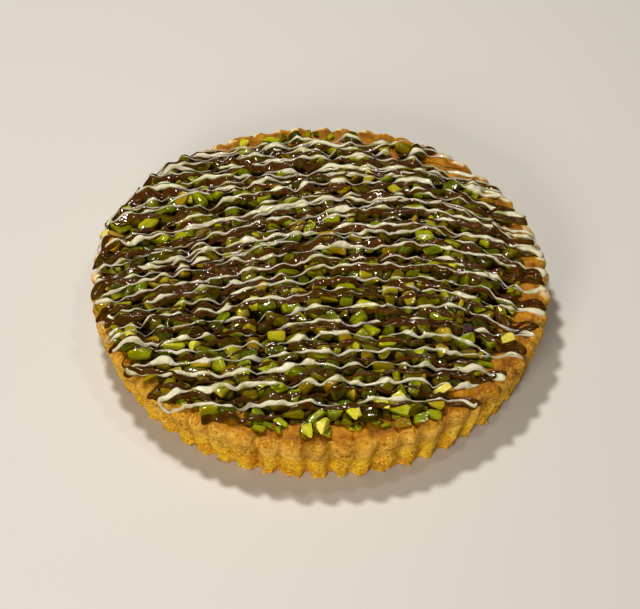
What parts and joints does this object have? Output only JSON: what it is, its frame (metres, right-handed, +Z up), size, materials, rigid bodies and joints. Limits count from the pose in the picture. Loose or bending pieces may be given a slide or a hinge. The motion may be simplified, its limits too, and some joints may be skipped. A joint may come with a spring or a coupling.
{
  "type": "pistachio tart",
  "caption": "Round fluted tart: a thick baked crust that carries a heap of chopped pistachios under fine lines of chocolate, for serving in slices.",
  "frame": {"origin": "middle of the underside, on the surface that the tart stands on", "axes": "+Z up through the topping, -Y towards the front of the tart"},
  "size_m": [0.2804, 0.279, 0.0451],
  "materials": {
    "pastry": "baked shortcrust, golden, dry and finely pitted",
    "pistachio": "chopped green nuts with a syrup glaze and thin chocolate lines",
    "milk_chocolate": "poured milk chocolate, smooth and glossy",
    "white_chocolate": "poured white chocolate, smooth with a soft gloss"
  },
  "bodies": {
    "root": {"pastry_shell": "pastry", "pistachio_topping": "pistachio"}
  },
  "joints": []
}
